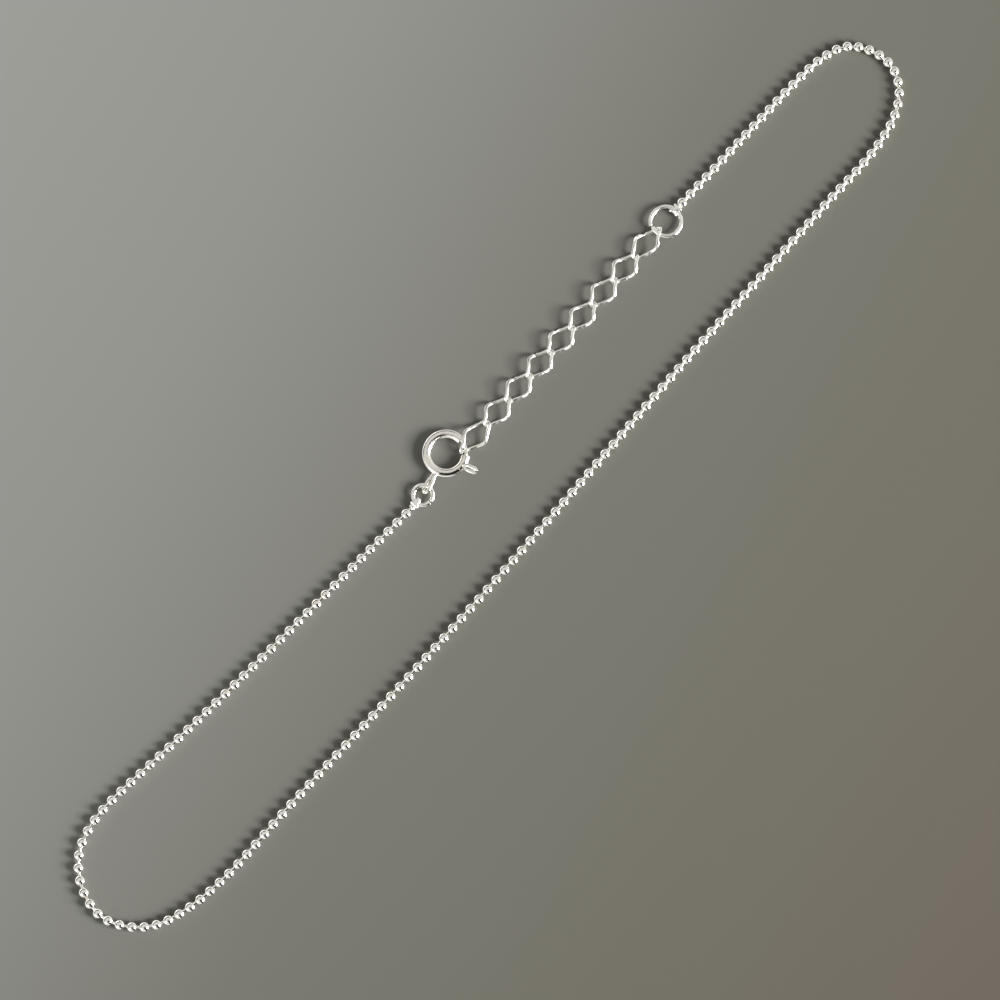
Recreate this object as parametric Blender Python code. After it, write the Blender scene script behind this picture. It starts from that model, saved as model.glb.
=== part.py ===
"""Chain anklet: a fine ball chain closed into a loop by an extender chain and a spring ring clasp.

Metres, +Z up. The loop lies flat, as it lies on a table, with its long axis along X.
Every piece hangs on the one before it: clasp, extender links, end ring and strap on one side,
jump ring and strap on the other, and the ball chain joins the two straps.
"""

import math

import bmesh
import bpy
from mathutils import Matrix, Vector

# Ball chain
BEAD_DIAMETER = 0.00103
BEAD_PITCH = 0.0013
ROD_DIAMETER = 0.0003

# Straps that join the ball chain to its two rings
STRAP_WIDTH = 0.001
STRAP_THICKNESS = 0.0002
STRAP_BEND = 0.00048
STRAP_WALL = 0.00018
CLASP_STRAP_REACH = 0.00048
EXTENDER_STRAP_REACH = 0.00043
CLASP_STRAP_WAY = math.radians(182)
EXTENDER_STRAP_WAY = math.radians(4)

# Collar soldered to the clasp-side strap, and the bare rod between each strap and its first bead
COLLAR_DIAMETER = 0.00062
COLLAR_LENGTH = 0.00042
CLASP_END_ROD = 0.00018
EXTENDER_END_ROD = 0.00006

# Rings
JUMP_RING_DIAMETER = 0.0025
JUMP_RING_WIRE = 0.00044
JUMP_RING_CUT_ANGLE = math.radians(-89)
JUMP_RING_CUT_WIDTH = 0.00014
END_RING_DIAMETER = 0.00354
END_RING_WIRE = 0.0004
END_RING_CUT_ANGLE = math.radians(153)
END_RING_CUT_WIDTH = 0.00012
END_RING_STEP = 0.00016

# Extender chain of twisted diamond links
LINK_COUNT = 9
LINK_PITCH = 0.00334
LINK_WIDTH = 0.00266
LINK_WIRE = 0.00034
LINK_TIP_RADIUS = 0.00052
LINK_SIDE_RADIUS = 0.00085
LINK_SKEW = 0.00036
LINK_TWIST = math.radians(48)
END_LINK_ROLL = math.radians(14)
BOLT_LINK_SLACK = 0.00025
RING_LINK_SLACK = 0.00014
EXTENDER_ANGLE = math.radians(1.5)
EXTENDER_LIFT = 0.00058

# Spring ring clasp, with angles counted from +X
CLASP_DIAMETER = 0.005
CLASP_TUBE = 0.0009
CLASP_WALL = 0.00012
CLASP_UPPER_MOUTH = math.radians(-5)
CLASP_LOWER_MOUTH = math.radians(-54)
CLASP_CENTRE = Vector((-0.00088, 0.00558, 0.0))
CLASP_LIFT = 0.00028
BOLT_WIRE = 0.00036
BOLT_OFFSET = 0.00005
BOLT_OVERLAP = math.radians(5)
BOLT_TRAVEL = math.radians(56)
BOLT_TAIL = math.radians(16)
LINK_HOOK_ANGLE = math.radians(-30)
TRIGGER_ANGLE = math.radians(-83)
TRIGGER_LEAN = math.radians(12)
TRIGGER_LENGTH = 0.00126
TRIGGER_NECK = 0.00036
TRIGGER_NECK_RISE = 0.00015
TRIGGER_HEAD = 0.00084
TRIGGER_THICKNESS = 0.00022
TRIGGER_NOTCH = 0.0002
SLOT_CLEARANCE = 0.00006
SLOT_RISE = math.radians(70)

# Eyelet soldered to the clasp
EYELET_ANGLE = math.radians(-166)
EYELET_WIRE = 0.00034
EYELET_LENGTH = 0.0023
EYELET_SLACK = 0.00025
EYELET_HALF_WIDTH = 0.0005
EYELET_ROOT_HALF_WIDTH = 0.00022
EYELET_ROLL = math.radians(55)

# Gap left between pieces that hang in each other
CLEARANCE = 0.00006

# Sides and steps of the round pieces
BEAD_SIDES = 10
WIRE_SIDES = 6
TUBE_SIDES = 10
BORE_SIDES = 8

# The loop as it lies, from one far turn to the other and across
LOOP_LENGTH = 0.1212
LOOP_WIDTH = 0.014

# The ball chain's route from the clasp side to the extender side, chosen by hand,
# as shares of the loop's length and width. The two ends follow the straps.
CHAIN_ROUTE = [
    (-0.0677, 0.303),
    (-0.1163, 0.318),
    (-0.2046, 0.342),
    (-0.2929, 0.374),
    (-0.3515, 0.404),
    (-0.3960, 0.434),
    (-0.4249, 0.450),
    (-0.4497, 0.433),
    (-0.4711, 0.368),
    (-0.4876, 0.232),
    (-0.4967, 0.064),
    (-0.4975, -0.114),
    (-0.4868, -0.296),
    (-0.4678, -0.434),
    (-0.4398, -0.511),
    (-0.4109, -0.544),
    (-0.3812, -0.553),
    (-0.3226, -0.539),
    (-0.2343, -0.536),
    (-0.1460, -0.529),
    (-0.0578, -0.514),
    (0.0305, -0.489),
    (0.1188, -0.457),
    (0.2063, -0.430),
    (0.2946, -0.416),
    (0.3828, -0.401),
    (0.4167, -0.401),
    (0.4455, -0.382),
    (0.4703, -0.332),
    (0.4901, -0.229),
    (0.5017, -0.071),
    (0.5008, 0.118),
    (0.4884, 0.289),
    (0.4653, 0.364),
    (0.4348, 0.384),
    (0.3754, 0.386),
    (0.3168, 0.384),
    (0.2888, 0.386),
]

# How far apart the beads lie along the route, as a share of the mean pitch:
# the chain is drawn out at the far turn and slack near the end ring.
SLACK = [
    # share of the route, share of the pitch
    (0.00, 1.010),
    (0.20, 1.035),
    (0.28, 0.985),
    (0.37, 1.070),
    (0.50, 1.040),
    (0.70, 0.985),
    (0.86, 0.900),
    (1.00, 0.950),
]

SILVER = (0.83, 0.82, 0.80, 1.0)

# Heights and radii that follow from the sizes above
LOOP_HEIGHT = BEAD_DIAMETER / 2
CLASP_HEIGHT = CLASP_TUBE / 2 + CLASP_LIFT
CLASP_RADIUS = (CLASP_DIAMETER - CLASP_TUBE) / 2
BOLT_RADIUS = CLASP_RADIUS + BOLT_OFFSET
END_HOOK_HEIGHT = (END_RING_WIRE + 2 * LINK_WIRE) / 2 + 4 * CLEARANCE
JUMP_RING_RADIUS = (JUMP_RING_DIAMETER - JUMP_RING_WIRE) / 2
END_RING_RADIUS = (END_RING_DIAMETER - END_RING_WIRE) / 2


def clear_scene():
    for old in list(bpy.data.objects):
        bpy.data.objects.remove(old, do_unlink=True)


def new_collection(name):
    collection = bpy.data.collections.new(name)
    bpy.context.scene.collection.children.link(collection)
    return collection


def metal(name, roughness):
    material = bpy.data.materials.new(name)
    material.use_nodes = True
    shader = material.node_tree.nodes["Principled BSDF"]
    shader.inputs["Base Color"].default_value = SILVER
    shader.inputs["Metallic"].default_value = 1.0
    shader.inputs["Roughness"].default_value = roughness
    return material


def polar(radius, angle, z=0.0):
    return Vector((radius * math.cos(angle), radius * math.sin(angle), z))


def arc(radius, start, end, steps):
    return [polar(radius, start + (end - start) * i / steps) for i in range(steps + 1)]


def steps_for(angle, full_turn):
    """Steps that an arc takes when a full turn takes full_turn of them."""
    return max(2, round(full_turn * abs(angle) / math.tau))


def tube(name, collection, points, radius, sides, closed=False, radii=None):
    """A round wire along points, with an even number of sides."""
    curve = bpy.data.curves.new(name, "CURVE")
    curve.dimensions = "3D"
    curve.twist_mode = "Z_UP"
    curve.bevel_depth = radius
    curve.bevel_resolution = (sides - 4) // 2
    curve.render_resolution_u = 0
    curve.use_fill_caps = not closed
    spline = curve.splines.new("POLY")
    spline.points.add(len(points) - 1)
    spline.use_cyclic_u = closed
    for i, point in enumerate(points):
        spline.points[i].co = (*point, 1.0)
        spline.points[i].radius = radii[i] / radius if radii else 1.0
    wire = bpy.data.objects.new(name, curve)
    collection.objects.link(wire)
    return wire


def plate(name, collection, outlines, thickness):
    """A flat plate in the XY plane, from an outline and the holes inside it."""
    curve = bpy.data.curves.new(name, "CURVE")
    curve.dimensions = "2D"
    curve.fill_mode = "BOTH"
    curve.extrude = thickness / 2
    curve.render_resolution_u = 0
    for outline in outlines:
        spline = curve.splines.new("POLY")
        spline.points.add(len(outline) - 1)
        spline.use_cyclic_u = True
        for i, point in enumerate(outline):
            spline.points[i].co = (point[0], point[1], 0.0, 1.0)
    flat = bpy.data.objects.new(name, curve)
    collection.objects.link(flat)
    return flat


def as_mesh(source):
    """The same piece as a closed mesh object that can be cut and joined."""
    bpy.context.view_layer.update()
    evaluated = source.evaluated_get(bpy.context.evaluated_depsgraph_get())
    mesh = bpy.data.meshes.new_from_object(evaluated)
    welded = bmesh.new()
    welded.from_mesh(mesh)
    bmesh.ops.remove_doubles(welded, verts=welded.verts, dist=1e-7)
    bmesh.ops.recalc_face_normals(welded, faces=welded.faces)
    welded.to_mesh(mesh)
    welded.free()
    name = source.name
    piece = bpy.data.objects.new(name, mesh)
    for collection in source.users_collection:
        collection.objects.link(piece)
    piece.matrix_world = source.matrix_world
    bpy.data.objects.remove(source, do_unlink=True)
    piece.name = name
    return piece


def cut_or_join(piece, other, operation):
    modifier = piece.modifiers.new(other.name, "BOOLEAN")
    modifier.object = other
    modifier.operation = operation
    modifier.solver = "EXACT"


def guide(name, piece):
    """Marks a cutter or a joined shape, which is no piece of its own."""
    piece.name = name
    piece.hide_render = True
    piece.display_type = "WIRE"
    return piece


def dress(piece, material, parent):
    piece.data.materials.clear()
    piece.data.materials.append(material)
    piece.parent = parent
    if piece.type == "MESH":
        piece.data.shade_smooth()
        piece.data.set_sharp_from_angle(angle=math.radians(40))
    return piece


def hooking_frame(near, far, roll=0.0):
    """Axes with X from one hooking point to the next, Z near upright, and the middle as origin."""
    along = (far - near).normalized()
    side = Vector((0, 0, 1)).cross(along).normalized()
    frame = Matrix((along, side, along.cross(side))).transposed().to_4x4()
    return Matrix.Translation((near + far) / 2) @ frame @ Matrix.Rotation(roll, 4, "X")


# Places where one piece hangs in the next

def clasp_point(radius, angle):
    return CLASP_CENTRE + polar(radius, angle, CLASP_HEIGHT)


def extender_hooks():
    """The LINK_COUNT + 1 points where the links hang, from the bolt to the end ring."""
    first = clasp_point(BOLT_RADIUS, LINK_HOOK_ANGLE)
    hooks = [first + polar(i * LINK_PITCH, EXTENDER_ANGLE) for i in range(LINK_COUNT + 1)]
    for hook in hooks[1:-1]:
        hook.z = EXTENDER_LIFT
    hooks[-1].z = END_HOOK_HEIGHT
    return hooks


def end_ring_centre():
    hook = extender_hooks()[-1]
    centre = hook + polar(END_RING_RADIUS, EXTENDER_ANGLE)
    centre.z = (END_HOOK_HEIGHT + LOOP_HEIGHT) / 2
    return centre


def jump_ring_hook():
    """Where the jump ring hangs in the eyelet, short of the eyelet's round end."""
    reach = eyelet_reach() - hang(EYELET_WIRE, JUMP_RING_WIRE) - EYELET_SLACK
    return clasp_point(CLASP_RADIUS + reach, EYELET_ANGLE)


def hang(wire, other_wire):
    """Distance between the middles of two wires that hang in each other."""
    return (wire + other_wire) / 2 + CLEARANCE


def eyelet_reach():
    """From the tube's middle line to the middle of the eyelet's round end."""
    return CLASP_TUBE / 2 + EYELET_LENGTH - EYELET_WIRE / 2


def jump_ring_centre():
    hook = jump_ring_hook()
    centre = hook + polar(JUMP_RING_RADIUS, EYELET_ANGLE)
    centre.z = (CLASP_HEIGHT + LOOP_HEIGHT) / 2
    return centre


def route_points():
    """The route at its real size, before its ends are drawn to the straps."""
    return [Vector((x * LOOP_LENGTH, y * LOOP_WIDTH, LOOP_HEIGHT)) for x, y in CHAIN_ROUTE]


def strap_seats():
    """Where each strap goes round its ring's wire, with the way to the chain."""
    clasp_way = polar(1, CLASP_STRAP_WAY)
    clasp_seat = jump_ring_centre() + clasp_way * JUMP_RING_RADIUS
    extender_way = polar(1, EXTENDER_STRAP_WAY)
    extender_seat = end_ring_centre() + extender_way * END_RING_RADIUS
    for seat in (clasp_seat, extender_seat):
        seat.z = LOOP_HEIGHT
    return (clasp_seat, clasp_way), (extender_seat, extender_way)


# Ball chain

def catmull_rom(p0, p1, p2, p3, t):
    return 0.5 * (2 * p1 + (p2 - p0) * t + (2 * p0 - 5 * p1 + 4 * p2 - p3) * t * t
                  + (3 * p1 - 3 * p2 + p3 - p0) * t * t * t)


def chain_line():
    """The smooth middle line of the ball chain, from the hole of one strap to the other's."""
    (clasp_seat, clasp_way), (extender_seat, extender_way) = strap_seats()
    start = clasp_seat + clasp_way * (CLASP_STRAP_REACH + COLLAR_LENGTH - STRAP_WALL / 2)
    finish = extender_seat + extender_way * (EXTENDER_STRAP_REACH - STRAP_WALL / 2)
    route = route_points()
    start_shift = start - route[0]
    finish_shift = finish - route[-1]
    last = len(route) - 1
    route = [p + start_shift * (1 - i / last) ** 4 + finish_shift * (i / last) ** 4
             for i, p in enumerate(route)]
    padded = [2 * route[0] - route[1]] + route + [2 * route[-1] - route[-2]]
    line = []
    pieces = 12
    for i in range(last):
        for k in range(pieces):
            line.append(catmull_rom(*padded[i:i + 4], k / pieces))
    line.append(route[-1])
    return line


def distances(line):
    total = [0.0]
    for a, b in zip(line, line[1:]):
        total.append(total[-1] + (b - a).length)
    return total


def at_distance(line, total, distance):
    """Point on the line at a distance from its start."""
    low = 0
    high = len(total) - 1
    while high - low > 1:
        middle = (low + high) // 2
        if total[middle] <= distance:
            low = middle
        else:
            high = middle
    share = (distance - total[low]) / (total[high] - total[low])
    return line[low].lerp(line[high], share)


def slack_at(share):
    for (s0, v0), (s1, v1) in zip(SLACK, SLACK[1:]):
        if share <= s1:
            return v0 + (v1 - v0) * (share - s0) / (s1 - s0)
    return SLACK[-1][1]


def bead_places(length):
    """Distances of the bead centres along the route."""
    first = STRAP_WALL / 2 + CLASP_END_ROD + BEAD_DIAMETER / 2
    last = length - STRAP_WALL / 2 - EXTENDER_END_ROD - BEAD_DIAMETER / 2
    run = last - first
    gaps = max(2, round(run / BEAD_PITCH))
    weights = [slack_at((i + 0.5) / gaps) for i in range(gaps)]
    unit = run / sum(weights)
    places = [first]
    for weight in weights:
        places.append(places[-1] + weight * unit)
    return places


def make_ball_chain(collection):
    """Beads and the rods between them, as one string of turned shapes."""
    line = chain_line()
    total = distances(line)
    places = bead_places(total[-1])
    bead = BEAD_DIAMETER / 2
    rod = ROD_DIAMETER / 2
    shoulder = 0.4 * bead
    stations = [(0.0, rod), ((places[0] - shoulder) / 2, rod)]
    for i, place in enumerate(places):
        stations.append((place - shoulder, bead))
        stations.append((place + shoulder, bead))
        if i < len(places) - 1:
            stations.append(((place + places[i + 1]) / 2, rod))
    stations.append(((places[-1] + shoulder + total[-1]) / 2, rod))
    stations.append((total[-1], rod))
    points = [at_distance(line, total, distance) for distance, _ in stations]
    radii = [radius for _, radius in stations]
    return tube("ball_chain", collection, points, bead, BEAD_SIDES, radii=radii)


# Straps

def strap_outline(reach, back, inset):
    """Closed strap seen from the side: round at the ring, square at the chain."""
    half = LOOP_HEIGHT - inset
    squeeze = (STRAP_BEND - inset) / half
    steps = 8
    outline = [polar(half, math.pi / 2 + math.pi * i / steps) for i in range(steps + 1)]
    outline = [Vector((point.x * squeeze - back, point.y, 0)) for point in outline]
    end = reach - (STRAP_WALL if inset else 0.0)
    outline.append(Vector((end, -half, 0)))
    outline.append(Vector((end, half, 0)))
    return outline


def make_collar(name, cutters, reach, length, bore):
    """A short sleeve soldered to the strap's end wall, which the chain's end sits in."""
    outlines = [arc(radius, 0, math.tau * (1 - 1 / BORE_SIDES), BORE_SIDES - 1)
                for radius in (COLLAR_DIAMETER / 2, bore)]
    full_length = length + STRAP_WALL / 2
    collar = guide(name, as_mesh(plate(name, cutters, outlines, full_length)))
    middle = Vector((reach + length - full_length / 2, 0, 0))
    return collar, Matrix.Translation(middle) @ Matrix.Rotation(math.pi / 2, 4, "Y")


def make_strap(name, collection, cutters, reach, collar_length, ring_bore, seat, way):
    """A strap whose bend stands back from the seat as far as the ring's bore curves within it.
    The chain's end sits in a hole in its end wall, or in a collar where it has one."""
    back = ring_bore - math.sqrt(ring_bore ** 2 - (STRAP_WIDTH / 2) ** 2)
    outlines = [strap_outline(reach, back, 0.0), strap_outline(reach, back, STRAP_THICKNESS)]
    strap = as_mesh(plate(name, collection, outlines, STRAP_WIDTH))
    upright = Vector((0, 0, 1))
    frame = Matrix((way, upright, way.cross(upright))).transposed().to_4x4()
    strap.matrix_world = Matrix.Translation(seat) @ frame
    bore = ROD_DIAMETER / 2 + CLEARANCE
    if collar_length:
        shape, place = make_collar(name + "_collar", cutters, reach, collar_length, bore)
        shape.matrix_world = strap.matrix_world @ place
        cut_or_join(strap, shape, "UNION")
    else:
        hole_points = [Vector((reach - 1.6 * STRAP_WALL, 0, 0)), Vector((reach + STRAP_WALL, 0, 0))]
        shape = guide(name + "_hole", as_mesh(tube(name + "_hole", cutters, hole_points, bore, BORE_SIDES)))
        shape.matrix_world = strap.matrix_world
        cut_or_join(strap, shape, "DIFFERENCE")
    return strap, shape


# Rings

def open_ring(name, collection, radius, wire, cut_angle, cut_width, step=0.0):
    """A ring of wire with a cut, whose second end may stand a step outside the first."""
    half_gap = cut_width / (2 * radius)
    start = cut_angle + half_gap
    turn = math.tau - 2 * half_gap
    steps = 20
    straight_from = 0.85
    points = []
    for i in range(steps + 1):
        share = i / steps
        lift = step * max(0.0, share - straight_from) / (1 - straight_from)
        points.append(polar(radius + lift, start + turn * share))
    return tube(name, collection, points, wire / 2, WIRE_SIDES)


def ring_frame(hook, centre):
    """Axes of a ring that slopes from its hook through its centre, with X as near +X as it goes."""
    slope = (centre - hook).normalized()
    level = Vector((slope.x, slope.y, 0)).normalized()
    tilt = level.rotation_difference(slope).to_matrix().to_4x4()
    return Matrix.Translation(centre) @ tilt


# Extender links

def link_line(half_length, tip_steps, side_steps):
    """Middle line of a diamond link: round tips and sides, skewed, then twisted about its length."""
    half_width = (LINK_WIDTH - LINK_WIRE) / 2
    run = half_length - LINK_TIP_RADIUS
    rise = half_width - LINK_SIDE_RADIUS
    spread = math.acos((LINK_SIDE_RADIUS - LINK_TIP_RADIUS) / math.hypot(run, rise))
    normal = spread - math.atan2(rise, run)
    flat = []
    for turn in (0.0, math.pi):
        tip = [polar(LINK_TIP_RADIUS, -normal + 2 * normal * i / tip_steps) for i in range(tip_steps + 1)]
        tip = [point + Vector((run, 0, 0)) for point in tip]
        side_span = math.pi - 2 * normal
        side = [polar(LINK_SIDE_RADIUS, normal + side_span * i / side_steps) for i in range(side_steps + 1)]
        side = [point + Vector((0, rise, 0)) for point in side]
        half = tip + [(tip[-1] + side[0]) / 2] + side
        half.append((side[-1] + Vector((-tip[0].x, -tip[0].y, 0))) / 2)
        flat.extend(Matrix.Rotation(turn, 3, "Z") @ point for point in half)
    line = []
    for point in flat:
        along = point.x - LINK_SKEW * point.y / half_width * (1 - abs(point.x) / half_length)
        share = along / half_length
        roll = -LINK_TWIST * share * (3 - share * share) / 2
        line.append(Vector((along, point.y * math.cos(roll), point.y * math.sin(roll))))
    return line


def make_links(collection):
    hooks = extender_hooks()
    links = []
    for i in range(LINK_COUNT):
        near = hooks[i]
        far = hooks[i + 1]
        way = (far - near).normalized()
        near_reach = far_reach = (LINK_WIRE + CLEARANCE) / 2
        roll = 0.0
        if i == 0:
            near_reach = hang(LINK_WIRE, BOLT_WIRE) + BOLT_LINK_SLACK
            roll = END_LINK_ROLL
        if i == LINK_COUNT - 1:
            far_reach = hang(LINK_WIRE, END_RING_WIRE) + RING_LINK_SLACK
            roll = -END_LINK_ROLL
        half_length = ((far - near).length + near_reach + far_reach) / 2
        line = link_line(half_length, tip_steps=4, side_steps=2)
        link = tube("extender_link_%02d" % (i + 1), collection, line, LINK_WIRE / 2, WIRE_SIDES, closed=True)
        link.matrix_world = hooking_frame(near - way * near_reach, far + way * far_reach, roll)
        links.append(link)
    return links


# Spring ring clasp

def tube_turn():
    """The angle that the clasp's tube covers, counterclockwise from its upper mouth."""
    return math.tau - (CLASP_UPPER_MOUTH - CLASP_LOWER_MOUTH)


def trigger_half_angle():
    return TRIGGER_NECK / 2 / CLASP_RADIUS


def make_eyelet(cutters):
    """A bent wire whose two ends are soldered to the tube's outer wall."""
    root = CLASP_TUBE / 2 - CLASP_WALL / 2
    knee = root + EYELET_WIRE
    tip_centre = eyelet_reach() - EYELET_HALF_WIDTH
    side = [
        Vector((root, EYELET_ROOT_HALF_WIDTH, 0)),
        Vector((knee, 1.15 * EYELET_ROOT_HALF_WIDTH, 0)),
        Vector(((knee + tip_centre) / 2, 0.9 * EYELET_HALF_WIDTH, 0)),
    ]
    tip_steps = 6
    tip = []
    for i in range(tip_steps + 1):
        around = math.pi / 2 - math.pi * i / tip_steps
        tip.append(polar(EYELET_HALF_WIDTH, around) + Vector((tip_centre, 0, 0)))
    mirrored = [Vector((point.x, -point.y, 0)) for point in reversed(side)]
    wire = tube("eyelet", cutters, side + tip + mirrored, EYELET_WIRE / 2, WIRE_SIDES)
    wire = guide("eyelet", as_mesh(wire))
    wire.matrix_world = (Matrix.Rotation(EYELET_ANGLE, 4, "Z")
                         @ Matrix.Translation((CLASP_RADIUS, 0, 0))
                         @ Matrix.Rotation(EYELET_ROLL, 4, "X"))
    return wire


def make_slot(cutters, start, end):
    """A band that runs round the ring and slopes up and out from the bolt's middle line."""
    steps = steps_for(end - start, 40)
    half = TRIGGER_THICKNESS / 2 + SLOT_CLEARANCE
    section = [(0.0, -half), (CLASP_TUBE, -half), (CLASP_TUBE, half), (0.0, half)]
    slope = Matrix.Rotation(SLOT_RISE, 2)
    corners = [slope @ Vector(corner) for corner in section]
    band = bmesh.new()
    rows = []
    for i in range(steps + 1):
        angle = start + (end - start) * i / steps
        rows.append([band.verts.new(polar(BOLT_RADIUS + c.x, angle, c.y)) for c in corners])
    for row, following in zip(rows, rows[1:]):
        for k in range(4):
            band.faces.new((row[k], row[k - 1], following[k - 1], following[k]))
    band.faces.new(rows[0])
    band.faces.new(rows[-1])
    bmesh.ops.recalc_face_normals(band, faces=band.faces)
    mesh = bpy.data.meshes.new("trigger_slot")
    band.to_mesh(mesh)
    band.free()
    slot = bpy.data.objects.new("trigger_slot", mesh)
    cutters.objects.link(slot)
    return slot


def make_clasp_ring(collection, cutters):
    """The clasp's bent tube, open at both mouths, slotted for the trigger, with its eyelet."""
    start = CLASP_UPPER_MOUTH
    end = start + tube_turn()
    steps = steps_for(tube_turn(), 28)
    line = arc(CLASP_RADIUS, start, end, steps)
    ring = as_mesh(tube("clasp_ring", collection, line, CLASP_TUBE / 2, TUBE_SIDES))
    past = math.radians(6)
    bore_line = [polar(CLASP_RADIUS, start - past), *line, polar(CLASP_RADIUS, end + past)]
    bore = tube("clasp_bore", cutters, bore_line, CLASP_TUBE / 2 - CLASP_WALL, BORE_SIDES)
    bore = guide("clasp_bore", as_mesh(bore))

    slot_start = TRIGGER_ANGLE + trigger_half_angle() + SLOT_CLEARANCE / CLASP_RADIUS
    slot_end = TRIGGER_ANGLE - BOLT_TRAVEL - trigger_half_angle() - 2 * SLOT_CLEARANCE / CLASP_RADIUS
    slot = guide("trigger_slot", make_slot(cutters, slot_start, slot_end))

    eyelet = make_eyelet(cutters)
    cut_or_join(ring, bore, "DIFFERENCE")
    cut_or_join(ring, eyelet, "UNION")
    cut_or_join(ring, slot, "DIFFERENCE")
    return ring, [bore, slot, eyelet]


def neck_end():
    """Where the trigger's neck ends, outwards and up from the bolt's middle line."""
    reach = CLASP_TUBE / 2 + TRIGGER_NECK_RISE
    return Vector((reach * math.cos(SLOT_RISE), 0, reach * math.sin(SLOT_RISE)))


def head_outline():
    """The thumb piece from above, along X from the bolt's middle line: a leaning head that
    flares to a fork."""
    start = neck_end().x - TRIGGER_THICKNESS / 2
    tip = CLASP_TUBE / 2 + TRIGGER_LENGTH
    half_neck = TRIGGER_NECK / 2
    half_head = TRIGGER_HEAD / 2
    upper = [
        (start, half_neck),
        (start + TRIGGER_THICKNESS, half_neck),
        ((start + tip) / 2, 0.8 * half_head),
        (tip - 0.3 * half_head, half_head),
        (tip, 0.75 * half_head),
        (tip - TRIGGER_NOTCH / 2, 0.35 * half_head),
        (tip - TRIGGER_NOTCH, 0.0),
    ]
    lower = [(x, -y) for x, y in reversed(upper[:-1])]
    lean = Matrix.Rotation(TRIGGER_LEAN, 3, "Z")
    knee = Vector((start, 0, 0))
    return [knee + lean @ (Vector((x, y, 0)) - knee) for x, y in upper + lower]


def make_clasp_bolt(collection, cutters):
    """The sliding bolt that closes the clasp, with the trigger that draws it back: a neck that
    slopes up through the slot, and a level head."""
    tip = CLASP_UPPER_MOUTH + BOLT_OVERLAP
    tail = TRIGGER_ANGLE - BOLT_TAIL
    line = arc(BOLT_RADIUS, tip, tail, steps_for(tip - tail, 40))
    bolt = as_mesh(tube("clasp_bolt", collection, line, BOLT_WIRE / 2, BORE_SIDES))
    at_trigger = Matrix.Rotation(TRIGGER_ANGLE, 4, "Z") @ Matrix.Translation((BOLT_RADIUS, 0, 0))

    half_neck = TRIGGER_NECK / 2
    neck_length = neck_end().length
    outline = [(0, -half_neck), (neck_length, -half_neck), (neck_length, half_neck), (0, half_neck)]
    neck = guide("trigger_neck", as_mesh(plate("trigger_neck", cutters, [outline], TRIGGER_THICKNESS)))
    neck.matrix_world = at_trigger @ Matrix.Rotation(-SLOT_RISE, 4, "Y")
    head = guide("trigger_head", as_mesh(plate("trigger_head", cutters, [head_outline()], TRIGGER_THICKNESS)))
    head.matrix_world = at_trigger @ Matrix.Translation((0, 0, neck_end().z))
    for shape in (neck, head):
        cut_or_join(bolt, shape, "UNION")
    return bolt, [neck, head]


def place_under(parent, pieces):
    """Hangs guides and pieces on their empty without moving them off it."""
    for piece in pieces:
        piece.parent = parent


def centre_on_floor(root, pieces):
    """Moves the whole anklet so that the middle of its box lies over the origin, on the floor."""
    bpy.context.view_layer.update()
    graph = bpy.context.evaluated_depsgraph_get()
    low = Vector((math.inf,) * 3)
    high = -low
    for piece in pieces:
        evaluated = piece.evaluated_get(graph)
        mesh = evaluated.to_mesh()
        for vertex in mesh.vertices:
            point = evaluated.matrix_world @ vertex.co
            low = Vector(map(min, low, point))
            high = Vector(map(max, high, point))
        evaluated.to_mesh_clear()
    root.location = (-(low.x + high.x) / 2, -(low.y + high.y) / 2, -low.z)


def main():
    clear_scene()
    anklet = new_collection("chain_anklet")
    cutters = new_collection("cutters")
    bright = metal("bright_silver", 0.08)
    satin = metal("satin_silver", 0.16)

    root = bpy.data.objects.new("anklet_root", None)
    clasp_frame = bpy.data.objects.new("clasp_centre", None)
    for empty in (root, clasp_frame):
        anklet.objects.link(empty)
    clasp_frame.parent = root
    clasp_frame.location = CLASP_CENTRE + Vector((0, 0, CLASP_HEIGHT))

    pieces = [dress(make_ball_chain(anklet), bright, root)]
    (clasp_seat, clasp_way), (extender_seat, extender_way) = strap_seats()
    jump_ring_bore = JUMP_RING_RADIUS - JUMP_RING_WIRE / 2
    end_ring_bore = END_RING_RADIUS - END_RING_WIRE / 2
    straps = (
        ("clasp_side_strap", CLASP_STRAP_REACH, COLLAR_LENGTH, jump_ring_bore, clasp_seat, clasp_way),
        ("extender_side_strap", EXTENDER_STRAP_REACH, 0.0, end_ring_bore, extender_seat, extender_way),
    )
    for name, reach, collar, ring_bore, seat, way in straps:
        strap, shape = make_strap(name, anklet, cutters, reach, collar, ring_bore, seat, way)
        pieces.append(dress(strap, bright, root))
        place_under(root, [shape])

    jump_ring = open_ring("jump_ring", anklet, JUMP_RING_RADIUS, JUMP_RING_WIRE,
                          JUMP_RING_CUT_ANGLE, JUMP_RING_CUT_WIDTH)
    jump_ring.matrix_world = ring_frame(jump_ring_hook(), jump_ring_centre())
    end_ring = open_ring("end_ring", anklet, END_RING_RADIUS, END_RING_WIRE,
                         END_RING_CUT_ANGLE, END_RING_CUT_WIDTH, END_RING_STEP)
    end_ring.matrix_world = ring_frame(extender_hooks()[-1], end_ring_centre())
    pieces.extend([dress(jump_ring, bright, root), dress(end_ring, bright, root)])

    pieces.extend(dress(link, bright, root) for link in make_links(anklet))

    clasp_ring, ring_guides = make_clasp_ring(anklet, cutters)
    clasp_bolt, bolt_guides = make_clasp_bolt(anklet, cutters)
    pieces.extend([dress(clasp_ring, satin, clasp_frame), dress(clasp_bolt, bright, clasp_frame)])
    place_under(clasp_frame, ring_guides + bolt_guides)

    centre_on_floor(root, pieces)


main()
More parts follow.
